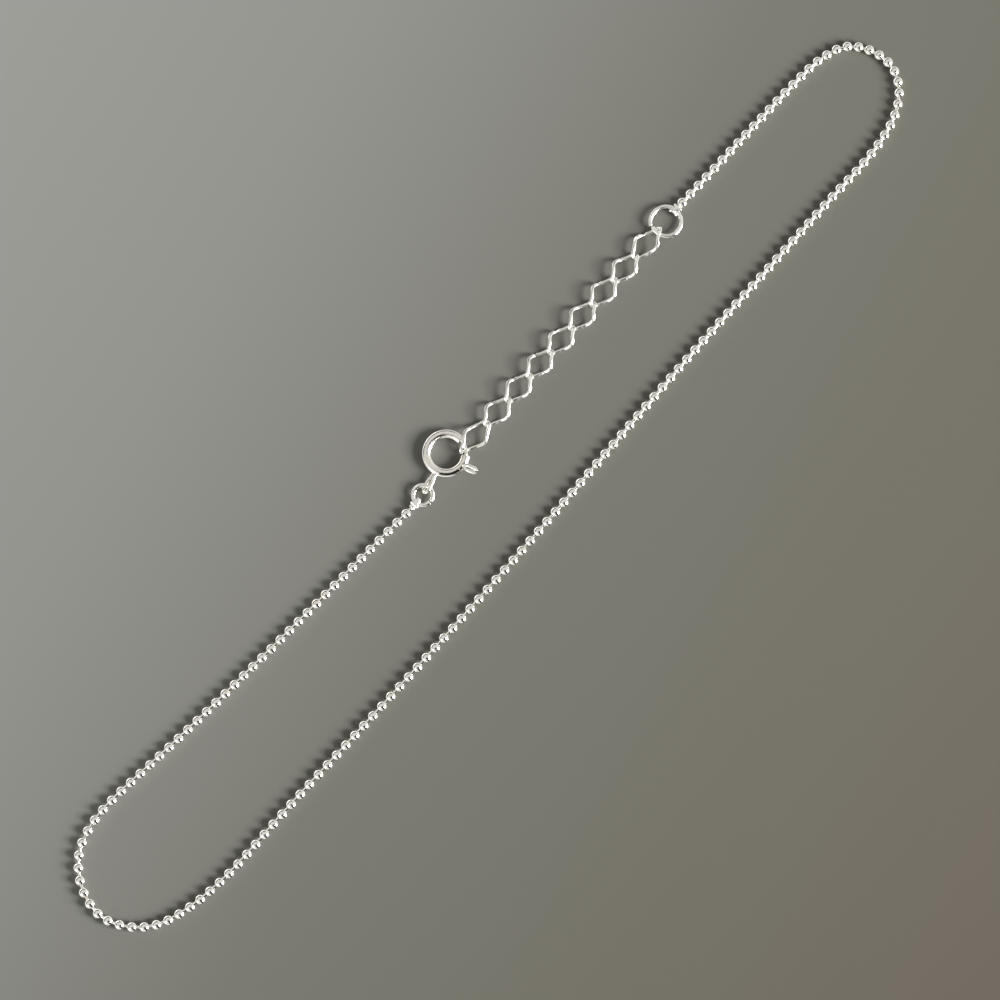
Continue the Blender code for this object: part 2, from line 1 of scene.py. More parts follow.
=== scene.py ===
"""The looks of the chain anklet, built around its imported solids.

Metres, +Z up, in the frame of the solids. Each piece repeats the sizes of the solid that it
stands for, with round wires, rolled metal, facets, seams and worn silver.
"""

import math
import random

import bmesh
import bpy
import numpy as np
from mathutils import Matrix, Vector

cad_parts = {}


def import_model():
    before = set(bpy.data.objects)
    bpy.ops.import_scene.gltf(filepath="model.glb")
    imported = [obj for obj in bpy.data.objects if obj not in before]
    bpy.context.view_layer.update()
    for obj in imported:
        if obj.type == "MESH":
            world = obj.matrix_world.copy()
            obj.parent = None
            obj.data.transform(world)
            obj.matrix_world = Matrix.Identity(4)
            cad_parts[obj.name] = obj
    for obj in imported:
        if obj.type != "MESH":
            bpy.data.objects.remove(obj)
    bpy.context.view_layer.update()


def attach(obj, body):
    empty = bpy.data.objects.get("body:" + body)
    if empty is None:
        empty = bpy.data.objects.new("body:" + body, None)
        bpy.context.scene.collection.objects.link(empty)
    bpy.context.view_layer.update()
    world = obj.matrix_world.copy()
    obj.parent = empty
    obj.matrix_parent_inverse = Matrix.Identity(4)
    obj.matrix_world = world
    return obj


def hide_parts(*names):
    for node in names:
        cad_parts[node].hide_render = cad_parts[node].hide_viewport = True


# Sizes of the solids
BEAD_DIAMETER = 0.00103
BEAD_PITCH = 0.0013
ROD_DIAMETER = 0.0003
STRAP_WIDTH = 0.001
STRAP_THICKNESS = 0.0002
STRAP_BEND = 0.00048
STRAP_WALL = 0.00018
CLASP_STRAP_REACH = 0.00048
EXTENDER_STRAP_REACH = 0.00043
CLASP_STRAP_WAY = math.radians(182)
EXTENDER_STRAP_WAY = math.radians(4)
COLLAR_LENGTH = 0.00042
CLASP_END_ROD = 0.00018
EXTENDER_END_ROD = 0.00006
JUMP_RING_DIAMETER = 0.0025
JUMP_RING_WIRE = 0.00044
JUMP_RING_CUT_ANGLE = math.radians(-89)
JUMP_RING_CUT_WIDTH = 0.00014
END_RING_DIAMETER = 0.00354
END_RING_WIRE = 0.0004
END_RING_CUT_ANGLE = math.radians(153)
END_RING_CUT_WIDTH = 0.00012
END_RING_STEP = 0.00016
LINK_COUNT = 9
LINK_PITCH = 0.00334
LINK_WIDTH = 0.00266
LINK_WIRE = 0.00034
LINK_TIP_RADIUS = 0.00052
LINK_SIDE_RADIUS = 0.00085
LINK_SKEW = 0.00036
LINK_TWIST = math.radians(48)
END_LINK_ROLL = math.radians(14)
BOLT_LINK_SLACK = 0.00025
RING_LINK_SLACK = 0.00014
EXTENDER_ANGLE = math.radians(1.5)
EXTENDER_LIFT = 0.00058
CLASP_DIAMETER = 0.005
CLASP_TUBE = 0.0009
CLASP_WALL = 0.00012
CLASP_UPPER_MOUTH = math.radians(-5)
CLASP_LOWER_MOUTH = math.radians(-54)
CLASP_CENTRE = Vector((-0.00088, 0.00558, 0.0))
CLASP_LIFT = 0.00028
BOLT_WIRE = 0.00036
BOLT_OFFSET = 0.00005
BOLT_OVERLAP = math.radians(5)
BOLT_TRAVEL = math.radians(56)
BOLT_TAIL = math.radians(16)
LINK_HOOK_ANGLE = math.radians(-30)
TRIGGER_ANGLE = math.radians(-83)
TRIGGER_LEAN = math.radians(12)
TRIGGER_LENGTH = 0.00126
TRIGGER_NECK = 0.00036
TRIGGER_NECK_RISE = 0.00015
TRIGGER_HEAD = 0.00084
SLOT_CLEARANCE = 0.00006
SLOT_RISE = math.radians(70)
EYELET_ANGLE = math.radians(-166)
EYELET_WIRE = 0.00034
EYELET_LENGTH = 0.0023
EYELET_SLACK = 0.00025
EYELET_HALF_WIDTH = 0.0005
EYELET_ROOT_HALF_WIDTH = 0.00022
EYELET_ROLL = math.radians(55)
CLEARANCE = 0.00006
LOOP_LENGTH = 0.1212
LOOP_WIDTH = 0.014

# Route of the ball chain, as shares of the loop's length and width
CHAIN_ROUTE = [
    (-0.0677, 0.303), (-0.1163, 0.318), (-0.2046, 0.342), (-0.2929, 0.374), (-0.3515, 0.404),
    (-0.3960, 0.434), (-0.4249, 0.450), (-0.4497, 0.433), (-0.4711, 0.368), (-0.4876, 0.232),
    (-0.4967, 0.064), (-0.4975, -0.114), (-0.4868, -0.296), (-0.4678, -0.434), (-0.4398, -0.511),
    (-0.4109, -0.544), (-0.3812, -0.553), (-0.3226, -0.539), (-0.2343, -0.536), (-0.1460, -0.529),
    (-0.0578, -0.514), (0.0305, -0.489), (0.1188, -0.457), (0.2063, -0.430), (0.2946, -0.416),
    (0.3828, -0.401), (0.4167, -0.401), (0.4455, -0.382), (0.4703, -0.332), (0.4901, -0.229),
    (0.5017, -0.071), (0.5008, 0.118), (0.4884, 0.289), (0.4653, 0.364), (0.4348, 0.384),
    (0.3754, 0.386), (0.3168, 0.384), (0.2888, 0.386),
]

# How loosely the beads lie: share of the route, share of the bead pitch
SLACK = [(0.00, 1.010), (0.20, 1.035), (0.28, 0.985), (0.37, 1.070), (0.50, 1.040),
         (0.70, 0.985), (0.86, 0.900), (1.00, 0.950)]

# Where the solids' own origin lies under the middle of the anklet's box
ROOT = Vector((-0.0002296, 0.0000874, 0.0))

LOOP_HEIGHT = BEAD_DIAMETER / 2
CLASP_HEIGHT = CLASP_TUBE / 2 + CLASP_LIFT
CLASP_RADIUS = (CLASP_DIAMETER - CLASP_TUBE) / 2
BOLT_RADIUS = CLASP_RADIUS + BOLT_OFFSET
END_HOOK_HEIGHT = (END_RING_WIRE + 2 * LINK_WIRE) / 2 + 4 * CLEARANCE
JUMP_RING_RADIUS = (JUMP_RING_DIAMETER - JUMP_RING_WIRE) / 2
END_RING_RADIUS = (END_RING_DIAMETER - END_RING_WIRE) / 2

# Height of the wires' undersides, worn flat where they lie on the table
UNDERSIDE = 0.000008

# Beads: sides round and steps along the ball, the hole's radius, how far a bead may turn from the
# line, and the smallest bead's share of the full size
BEAD_SIDES = 24
BEAD_STEPS = 14
BEAD_HOLE = 0.0002
BEAD_TILT = math.radians(4)
BEAD_LEAST = 0.985

# The lip at a bead's hole: distance past the ball's edge, and change of the hole's radius
BEAD_LIP = [(0.000004, -0.000022), (-0.00002, -0.00003), (-0.00016, -0.00002)]

# A rod's waist: share of its length, share of its thickness. It starts inside the bead, at this
# share of the bead's width from the middle.
ROD_WAIST = [(0.0, 1.0), (0.18, 1.0), (0.5, 0.88), (0.82, 1.0), (1.0, 1.0)]
ROD_START = 0.3

# Straps: radius of the folded corners and depth of the waist before the end wall
STRAP_CORNER = 0.00014
STRAP_SAG = 0.00005

# Where a strap changes its width behind the bend and before the end wall: start and run, as
# shares of its reach
STRAP_PAST_BEND = (0.06, 0.18)
STRAP_WIDENING = (0.50, 0.34)

# Widths of each strap at its bend and where it passes over the ring's wire, and how far the
# bend's middle is thinned
CLASP_STRAP_WIDTHS = (0.00046, 0.00046)
CLASP_STRAP_DENT = 0.0
EXTENDER_STRAP_WIDTHS = (0.00096, 0.0003)
EXTENDER_STRAP_DENT = 0.5

# The sleeve round the chain's end: start and end from the strap's end, and radius
CLASP_COLLAR = (0.0, 0.8 * COLLAR_LENGTH, 0.00036)
EXTENDER_COLLAR = (-0.00004, 0.00006, 0.00024)

# Rings: steps round, waviness, and the share of the turn from which a stepped ring straightens
RING_STEPS = 110
RING_WAVE = 0.000006
RING_STRAIGHT_FROM = 0.85

# Places of the flat cuts round each link, as shares of its length round
LINK_FACETS = [0.13, 0.24, 0.37, 0.63, 0.74, 0.87]

# The tube's seam: where round the ring it gapes, in degrees, how far it turns up there, and half
# its width where it is shut and where it gapes
SEAM_ANGLE = 54.0
SEAM_TURN = math.radians(62)
SEAM_SHUT = 0.000006
SEAM_GAPE = 0.00006

# Faces over a quarter of the tube's section
TUBE_QUARTER = 12

# Width of the trigger's slot, how far it runs on past the trigger's last place, and the share by
# which its lip is bent in
SLOT_WIDTH = 0.00032
SLOT_BEYOND = math.radians(11)
LIP_BEND = 0.05

# Trigger: thickness, height of the rims, depth of the notch at its end, rows of points along and
# across the scoop, and the rows of its groove, which is painted dark as shade
NECK_THICKNESS = 0.00016
TRIGGER_RIM = 0.00022
TRIGGER_NOTCH = 0.00026
TRIGGER_ROWS = 20
TRIGGER_COLUMNS = 21
TRIGGER_GROOVE = (6, 15)

# Share of the upward direction added to the metal's shading
NORMAL_LEAN = 0.5

# The metal's noise, in waves a metre: colour patches, polish, dents and scratches, with the
# depths of the last two
PATCH_SCALE = 900.0
POLISH_SCALE = 2600.0
DENT_SCALE = 1500.0
DENT_DEPTH = 0.00004
SCRATCH_SCALE = 1400.0
SCRATCH_DEPTH = 0.000006

# Silver: name, clean and warm colours, least and most roughness, dents, scratches
CLEAN = (0.95, 0.935, 0.885)
WARM = (0.93, 0.885, 0.815)
BRIGHT_SILVER = ("bright_silver_worn", CLEAN, WARM, (0.06, 0.15), 0.18, 0.10)
LINK_SILVER = ("link_silver_worn", CLEAN, WARM, (0.12, 0.26), 0.40, 0.20)
CLASP_SILVER = ("clasp_silver_worn", (0.92, 0.895, 0.84), (0.86, 0.77, 0.71), (0.12, 0.26),
                0.45, 0.30)

# The table's colours, with painted light falloff: paler at the photograph's upper left, darker to
# its lower right
FLOOR_FALLOFF_STOPS = [(0.0, (0.198, 0.198, 0.187)), (0.25, (0.153, 0.155, 0.143)),
               (0.5, (0.094, 0.093, 0.081)), (0.75, (0.072, 0.069, 0.054)),
               (1.0, (0.056, 0.046, 0.037))]

# The studio's colours by height, from the horizon to overhead
GLOW_STOPS = [(0.0, (0.95, 0.95, 0.92)), (0.36, (0.95, 0.95, 0.92)), (0.46, (0.74, 0.74, 0.71)),
              (1.0, (0.68, 0.67, 0.65))]

# How much of the light the dark strip and the dim band of the studio take away
STRIP_DEPTH = 0.94
BAND_DEPTH = 0.88

# Softboxes: name, place in the photograph's directions (right, up, height), width, height, watts
LIGHTS = [
    ("key_right", (0.44, -0.13, 0.31), 0.24, 0.24, 7.9),
    ("fill_lower_left", (-0.30, -0.34, 0.34), 0.20, 0.20, 0.4),
    ("wall_up_left", (-0.40, 0.38, 0.16), 0.5, 0.16, 0.3),
]

# The photograph's frame on the floor, its middle, its right and up directions and its width, and
# the camera's distance and tilt
VIEW_CENTRE = Vector((-0.00083, -0.00174, 0.0005))
VIEW_RIGHT = Vector((0.682, -0.731, 0.0)).normalized()
VIEW_UP = Vector((0.731, 0.682, 0.0)).normalized()
VIEW_WIDTH = 0.104
VIEW_DISTANCE = 0.35
VIEW_TILT = math.radians(3)

# Direction of the camera's holder in the photograph, from its right
HOLDER_WAY = math.radians(-55)

# Direction in which the table's painted light falloff darkens it
FLOOR_FALLOFF_WAY = VIEW_RIGHT * 0.875 - VIEW_UP * 0.484


# Points and lines

def polar(radius, angle, z=0.0):
    return Vector((radius * math.cos(angle), radius * math.sin(angle), z))


def hang(wire, other_wire):
    return (wire + other_wire) / 2 + CLEARANCE


def clasp_point(radius, angle):
    return CLASP_CENTRE + polar(radius, angle, CLASP_HEIGHT)


def extender_hooks():
    first = clasp_point(BOLT_RADIUS, LINK_HOOK_ANGLE)
    hooks = [first + polar(i * LINK_PITCH, EXTENDER_ANGLE) for i in range(LINK_COUNT + 1)]
    for hook in hooks[1:-1]:
        hook.z = EXTENDER_LIFT
    hooks[-1].z = END_HOOK_HEIGHT
    return hooks


def end_ring_centre():
    hook = extender_hooks()[-1]
    centre = hook + polar(END_RING_RADIUS, EXTENDER_ANGLE)
    centre.z = (END_HOOK_HEIGHT + LOOP_HEIGHT) / 2
    return centre


def eyelet_reach():
    return CLASP_TUBE / 2 + EYELET_LENGTH - EYELET_WIRE / 2


def jump_ring_hook():
    reach = eyelet_reach() - hang(EYELET_WIRE, JUMP_RING_WIRE) - EYELET_SLACK
    return clasp_point(CLASP_RADIUS + reach, EYELET_ANGLE)


def jump_ring_centre():
    hook = jump_ring_hook()
    centre = hook + polar(JUMP_RING_RADIUS, EYELET_ANGLE)
    centre.z = (CLASP_HEIGHT + LOOP_HEIGHT) / 2
    return centre


def route_points():
    return [Vector((x * LOOP_LENGTH, y * LOOP_WIDTH, LOOP_HEIGHT)) for x, y in CHAIN_ROUTE]


def strap_seats():
    clasp_way = polar(1, CLASP_STRAP_WAY)
    clasp_seat = jump_ring_centre() + clasp_way * JUMP_RING_RADIUS
    extender_way = polar(1, EXTENDER_STRAP_WAY)
    extender_seat = end_ring_centre() + extender_way * END_RING_RADIUS
    for seat in (clasp_seat, extender_seat):
        seat.z = LOOP_HEIGHT
    return (clasp_seat, clasp_way), (extender_seat, extender_way)


def catmull_rom(p0, p1, p2, p3, t):
    return 0.5 * (2 * p1 + (p2 - p0) * t + (2 * p0 - 5 * p1 + 4 * p2 - p3) * t * t
                  + (3 * p1 - 3 * p2 + p3 - p0) * t * t * t)


def chain_line():
    (clasp_seat, clasp_way), (extender_seat, extender_way) = strap_seats()
    start = clasp_seat + clasp_way * (CLASP_STRAP_REACH + COLLAR_LENGTH - STRAP_WALL / 2)
    finish = extender_seat + extender_way * (EXTENDER_STRAP_REACH - STRAP_WALL / 2)
    route = route_points()
    start_shift = start - route[0]
    finish_shift = finish - route[-1]
    last = len(route) - 1
    route = [p + start_shift * (1 - i / last) ** 4 + finish_shift * (i / last) ** 4
             for i, p in enumerate(route)]
    padded = [2 * route[0] - route[1]] + route + [2 * route[-1] - route[-2]]
    line = []
    pieces = 12
    for i in range(last):
        for k in range(pieces):
            line.append(catmull_rom(*padded[i:i + 4], k / pieces))
    line.append(route[-1])
    return line


def slack_at(share):
    for (s0, v0), (s1, v1) in zip(SLACK, SLACK[1:]):
        if share <= s1:
            return v0 + (v1 - v0) * (share - s0) / (s1 - s0)
    return SLACK[-1][1]


def bead_places(length):
    first = STRAP_WALL / 2 + CLASP_END_ROD + BEAD_DIAMETER / 2
    last = length - STRAP_WALL / 2 - EXTENDER_END_ROD - BEAD_DIAMETER / 2
    run = last - first
    gaps = max(2, round(run / BEAD_PITCH))
    weights = [slack_at((i + 0.5) / gaps) for i in range(gaps)]
    unit = run / sum(weights)
    return np.concatenate([[first], first + np.cumsum(weights) * unit])


def bead_centres():
    """The two ends of the chain's line and the middle of every bead between them."""
    line = np.array(chain_line())
    steps = np.linalg.norm(np.diff(line, axis=0), axis=1)
    total = np.concatenate([[0], np.cumsum(steps)])
    places = bead_places(total[-1])
    centres = np.stack([np.interp(places, total, line[:, k]) for k in range(3)], axis=1)
    return line[0], centres, line[-1]


# Meshes

def mesh_piece(name, points, faces, matrix=None):
    """A smooth piece from points and faces, moved into the solids' place. Nothing of it dips
    below the table."""
    mesh = bpy.data.meshes.new(name)
    mesh.from_pydata([tuple(p) for p in points], [], faces)
    if matrix is not None:
        mesh.transform(matrix)
    mesh.transform(Matrix.Translation(ROOT))
    for vertex in mesh.vertices:
        vertex.co.z = max(vertex.co.z, UNDERSIDE)
    mesh.update()
    mesh.shade_smooth()
    piece = bpy.data.objects.new(name, mesh)
    bpy.context.scene.collection.objects.link(piece)
    return piece


def round_edges(piece, width, segments, degrees):
    """Rounds the edges that are sharper than the given angle."""
    edge = piece.modifiers.new("edges", "BEVEL")
    edge.width = width
    edge.segments = segments
    edge.limit_method = "ANGLE"
    edge.angle_limit = math.radians(degrees)


def joined(parts):
    """Points and faces of several parts as one list of each."""
    points = []
    faces = []
    for part_points, part_faces in parts:
        start = len(points)
        points.extend(part_points)
        faces.extend([tuple(i + start for i in face) for face in part_faces])
    return points, faces


def axes_along(line, closed, across=None):
    """Tangent, side and up directions at each point of a line."""
    line = np.array(line, float)
    if closed:
        tangent = np.roll(line, -1, axis=0) - np.roll(line, 1, axis=0)
    else:
        tangent = np.gradient(line, axis=0)
    tangent /= np.linalg.norm(tangent, axis=1)[:, None]
    if across is None:
        side = np.cross((0.0, 0.0, 1.0), tangent)
    else:
        side = np.tile(np.array(across, float), (len(line), 1))
    side /= np.linalg.norm(side, axis=1)[:, None]
    return line, tangent, side, np.cross(tangent, side)


def sweep(line, sections, closed=False, across=None):
    """Points and faces of a bar along a line, with one cross-section of (side, up) points for
    each point of the line."""
    line, _, side, up = axes_along(line, closed, across)
    sections = np.array(sections, float)
    count, sides = sections.shape[:2]
    points = (line[:, None] + sections[:, :, :1] * side[:, None] + sections[:, :, 1:] * up[:, None])
    points = points.reshape(-1, 3)
    faces = []
    for i in range(count if closed else count - 1):
        a = i * sides
        b = (i + 1) % count * sides
        for j in range(sides):
            k = (j + 1) % sides
            faces.append((a + j, a + k, b + k, b + j))
    if not closed:
        faces.append(tuple(range(sides - 1, -1, -1)))
        faces.append(tuple(range((count - 1) * sides, count * sides)))
    return list(points), faces


def round_section(radius, sides=20, flat=0.0, turn=0.0):
    """A circle, or with flat above 0 a rounded square with four flats."""
    angle = np.arange(sides) * math.tau / sides
    power = 2 + 6 * flat
    reach = (np.abs(np.cos(angle)) ** power + np.abs(np.sin(angle)) ** power) ** (-1 / power)
    shape = np.stack([np.cos(angle + turn) * reach, np.sin(angle + turn) * reach], axis=1)
    return radius * shape / (1 + 0.5 * (reach.max() - 1))


def eased_ends(line, radius, edge):
    """The line with extra points at its ends, and the share of the full section at each, so that
    the ends' edges are rounded by edge."""
    line = [Vector(p) for p in line]
    steps = [math.radians(a) for a in (0, 30, 60, 90)]
    depths = [edge * (1 - math.sin(a)) for a in reversed(steps)]
    sizes = [1 - edge / radius * (1 - math.cos(a)) for a in reversed(steps)]
    head_way = (line[1] - line[0]).normalized()
    tail_way = (line[-2] - line[-1]).normalized()
    head = [line[0] + head_way * d for d in depths]
    tail = [line[-1] + tail_way * d for d in depths]
    middle = line[1:-1]
    shares = sizes + [1.0] * len(middle) + list(reversed(sizes))
    return head + middle + list(reversed(tail)), shares


def smooth_noise(count, seed, waves, closed=False):
    """A gentle wave of values between about -1 and 1, the same each run."""
    rng = random.Random(seed)
    share = np.arange(count) / (count if closed else max(1, count - 1))
    total = np.zeros(count)
    for wave in waves:
        total += np.sin(share * math.tau * wave + rng.uniform(0, math.tau)) * rng.uniform(0.5, 1)
    return total / len(waves)


def eased(value, start, run):
    """0 before start, 1 after start and run, and smooth between."""
    share = min(1.0, max(0.0, (value - start) / run))
    return share * share * (3 - 2 * share)


# Materials

def new_material(name):
    material = bpy.data.materials.new(name)
    material.use_nodes = True
    nodes = material.node_tree.nodes
    return material, nodes, material.node_tree.links, nodes["Principled BSDF"]


def ramp(nodes, links, value, stops):
    """A colour for each value, from stops of (value, colour)."""
    node = nodes.new("ShaderNodeValToRGB")
    for element, (position, colour) in zip(node.color_ramp.elements, (stops[0], stops[-1])):
        element.position = position
        element.color = (*colour, 1.0)
    for position, colour in stops[1:-1]:
        element = node.color_ramp.elements.new(position)
        element.color = (*colour, 1.0)
    links.new(value, node.inputs["Fac"])
    return node.outputs["Color"]


def noise_node(nodes, links, vector, scale, detail=4.0, roughness=0.55):
    node = nodes.new("ShaderNodeTexNoise")
    node.inputs["Scale"].default_value = scale
    node.inputs["Detail"].default_value = detail
    node.inputs["Roughness"].default_value = roughness
    links.new(vector, node.inputs["Vector"])
    return node.outputs["Fac"]


def spread(nodes, links, value, low, high):
    """The noise's middle range stretched to low and high."""
    node = nodes.new("ShaderNodeMapRange")
    node.inputs["From Min"].default_value = 0.3
    node.inputs["From Max"].default_value = 0.7
    node.inputs["To Min"].default_value = low
    node.inputs["To Max"].default_value = high
    links.new(value, node.inputs["Value"])
    return node.outputs["Result"]


def silver(name, clean, warm, rough, dents, scratches):
    """Worn silver: clean metal with warm patches, uneven polish, small dents and scratches. Its
    shading leans upwards, so that the rims show the studio's bright walls, not the table."""
    material, nodes, links, shader = new_material(name)
    coordinates = nodes.new("ShaderNodeTexCoord")
    place = coordinates.outputs["Object"]
    lean = nodes.new("ShaderNodeVectorMath")
    lean.operation = "ADD"
    lean.inputs[1].default_value = (0.0, 0.0, NORMAL_LEAN)
    links.new(coordinates.outputs["Normal"], lean.inputs[0])
    leaned = nodes.new("ShaderNodeVectorMath")
    leaned.operation = "NORMALIZE"
    links.new(lean.outputs["Vector"], leaned.inputs[0])
    shader.inputs["Metallic"].default_value = 1.0
    patches = noise_node(nodes, links, place, PATCH_SCALE)
    links.new(ramp(nodes, links, patches, [(0.38, clean), (0.55, clean), (0.72, warm)]),
              shader.inputs["Base Color"])
    polish = noise_node(nodes, links, place, POLISH_SCALE)
    links.new(spread(nodes, links, polish, rough[0], rough[1]), shader.inputs["Roughness"])

    dent = noise_node(nodes, links, place, DENT_SCALE, detail=2.0)
    bump = nodes.new("ShaderNodeBump")
    bump.inputs["Strength"].default_value = dents
    bump.inputs["Distance"].default_value = DENT_DEPTH
    links.new(dent, bump.inputs["Height"])
    links.new(leaned.outputs["Vector"], bump.inputs["Normal"])
    stretch = nodes.new("ShaderNodeMapping")
    stretch.inputs["Rotation"].default_value = (0.4, 0.3, 0.9)
    stretch.inputs["Scale"].default_value = (1.0, 14.0, 14.0)
    links.new(place, stretch.inputs["Vector"])
    lines = noise_node(nodes, links, stretch.outputs["Vector"], SCRATCH_SCALE, detail=3.0)
    fine = nodes.new("ShaderNodeBump")
    fine.inputs["Strength"].default_value = scratches
    fine.inputs["Distance"].default_value = SCRATCH_DEPTH
    links.new(lines, fine.inputs["Height"])
    links.new(bump.outputs["Normal"], fine.inputs["Normal"])
    links.new(fine.outputs["Normal"], shader.inputs["Normal"])
    return material


def dot_node(nodes, links, vector, direction):
    node = nodes.new("ShaderNodeVectorMath")
    node.operation = "DOT_PRODUCT"
    node.inputs[1].default_value = tuple(direction)
    links.new(vector, node.inputs[0])
    return node.outputs["Value"]


def shade_painted_silver():
    """Dark silver, painted shade for the inside of the clasp's tube and the trigger's groove."""
    material, nodes, links, shader = new_material("silver_painted_as_shade")
    place = nodes.new("ShaderNodeTexCoord").outputs["Object"]
    cloud = noise_node(nodes, links, place, 3000.0)
    links.new(ramp(nodes, links, cloud, [(0.35, (0.06, 0.055, 0.05)), (0.65, (0.16, 0.14, 0.12))]),
              shader.inputs["Base Color"])
    shader.inputs["Metallic"].default_value = 0.6
    shader.inputs["Roughness"].default_value = 0.55
    return material


def floor_material():
    """Matt grey table top, with painted light falloff that makes it paler towards the photograph's
    upper left.
    """
    material, nodes, links, shader = new_material("table_grey_painted_falloff")
    place = nodes.new("ShaderNodeTexCoord").outputs["Object"]
    slope = dot_node(nodes, links, place, FLOOR_FALLOFF_WAY)
    shade = nodes.new("ShaderNodeMapRange")
    shade.inputs["From Min"].default_value = -VIEW_WIDTH * 0.7
    shade.inputs["From Max"].default_value = VIEW_WIDTH * 0.7
    links.new(slope, shade.inputs["Value"])
    # Painted light: the table's colour falls off from the photograph's upper left to its lower
    # right
    links.new(ramp(nodes, links, shade.outputs["Result"], FLOOR_FALLOFF_STOPS), shader.inputs["Base Color"])
    shader.inputs["Roughness"].default_value = 0.6
    shader.inputs["Specular IOR Level"].default_value = 0.2
    return material


def add(piece, material, body, nodes):
    piece.data.materials.clear()
    piece.data.materials.append(material)
    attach(piece, body)
    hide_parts(*nodes)
    return piece


# Ball chain

def bead_profile():
    """Half outline of a hollow bead as (along, radius) points: a lip at each hole, and the ball."""
    radius = BEAD_DIAMETER / 2
    open_angle = math.acos(BEAD_HOLE / radius)
    ball = []
    for i in range(BEAD_STEPS + 1):
        angle = -open_angle + 2 * open_angle * i / BEAD_STEPS
        ball.append((radius * math.sin(angle), radius * math.cos(angle)))
    edge = ball[-1][0]
    lip = [(edge + along, BEAD_HOLE + change) for along, change in BEAD_LIP]
    return [(-x, r) for x, r in reversed(lip)] + ball + lip


def make_beads(centres, start, finish):
    """All beads of the chain as one piece, each strung along the line with a little play."""
    rng = random.Random(7)
    profile = np.array(bead_profile())
    around = np.arange(BEAD_SIDES) * math.tau / BEAD_SIDES
    parts = []
    whole = np.vstack([[start], centres, [finish]])
    for i, centre in enumerate(centres):
        way = Vector(whole[i + 2] - whole[i]).normalized()
        side = Vector((0, 0, 1)).cross(way).normalized()
        frame = Matrix((way, side, way.cross(side))).transposed()
        tilt = Matrix.Rotation(rng.uniform(-BEAD_TILT, BEAD_TILT), 3, "Z")
        tilt = tilt @ Matrix.Rotation(rng.uniform(-BEAD_TILT, BEAD_TILT), 3, "Y")
        spin = Matrix.Rotation(rng.uniform(0, math.tau), 3, "X")
        turned = np.array(frame @ tilt @ spin)
        size = rng.uniform(BEAD_LEAST, 1.0)
        ring = np.stack([np.broadcast_to(profile[:, None, 0], (len(profile), BEAD_SIDES)),
                         profile[:, None, 1] * np.cos(around),
                         profile[:, None, 1] * np.sin(around)], axis=2)
        points = (ring.reshape(-1, 3) * size) @ turned.T + centre
        faces = []
        for a in range(len(profile) - 1):
            for j in range(BEAD_SIDES):
                k = (j + 1) % BEAD_SIDES
                row = a * BEAD_SIDES
                faces.append((row + j, row + BEAD_SIDES + j, row + BEAD_SIDES + k, row + k))
        parts.append((list(points), faces))
    return mesh_piece("ball_chain_beads", *joined(parts))


def make_rods(centres, start, finish):
    """A short waisted rod from the middle of each bead to the next, and one into each strap."""
    whole = [Vector(p) for p in (start, *centres, finish)]
    parts = []
    inside = BEAD_DIAMETER * ROD_START
    for i, (a, b) in enumerate(zip(whole, whole[1:])):
        way = (b - a).normalized()
        first = a if i == 0 else a + way * inside
        last = b if i == len(whole) - 2 else b - way * inside
        line = [first.lerp(last, share) for share, _ in ROD_WAIST]
        sections = [round_section(ROD_DIAMETER / 2 * size, 12) for _, size in ROD_WAIST]
        parts.append(sweep(line, sections))
    return mesh_piece("ball_chain_rods", *joined(parts))


# Straps

def strap_loop(reach, back):
    """Middle line of the folded strap seen from the side: hugging the ring's wire in its bend, with
    a waist before the end wall."""
    half = LOOP_HEIGHT - STRAP_THICKNESS / 2
    bend = STRAP_BEND - STRAP_THICKNESS / 2
    corner = STRAP_CORNER
    end = reach - STRAP_WALL / 2
    line = []
    for i in range(17):
        point = polar(1, math.pi / 2 + math.pi * i / 16)
        line.append(Vector((point.x * bend - back, point.y * (half - 0.4 * STRAP_SAG), 0)))
    for rise in (-1, 1):
        turn = []
        for i in range(7):
            around = math.pi / 2 * i / 6
            turn.append(Vector((end - corner + corner * math.sin(around),
                                rise * (half - corner + corner * math.cos(around)), 0)))
        waist_x = end - corner - 0.0001
        turn.insert(0, Vector((waist_x, rise * (half - STRAP_SAG), 0)))
        line.extend(turn if rise < 0 else reversed(turn))
    return line


def strap_section(width, thickness, dent):
    """A flat bar's section with well rounded edges. The share dent thins its middle and swells
    its outer edges."""
    radius = thickness * 0.48
    half = width / 2 - radius
    rise = thickness / 2 - radius
    arcs = ((half, rise, 0), (-half, rise, 90), (-half, -rise, 180), (half, -rise, 270))
    section = []
    for cx, cy, start in arcs:
        for i in range(5):
            angle = math.radians(start + 90 * i / 4)
            height = cy + radius * math.sin(angle)
            if height > 0:
                height *= 1 + 2.5 * dent
            section.append((cx + radius * math.cos(angle), height))
        if start in (0, 180):
            for share, depth in ((0.5, 0.8), (0.0, 1.0), (-0.5, 0.8)):
                height = thickness / 2 * (1 - dent * depth)
                section.append((cx * share, height if start == 0 else -height))
    return np.array(section)


def collar_part(start, end, radius):
    """A round-shouldered sleeve from start to end along X."""
    line = []
    sizes = []
    for i in range(9):
        around = math.pi * i / 8
        line.append(Vector((start + (end - start) * (0.5 - 0.5 * math.cos(around)), 0, 0)))
        sizes.append(radius * (0.55 + 0.45 * math.sin(around)))
    return sweep(line, [round_section(size, 20) for size in sizes], across=(0, 0, 1))


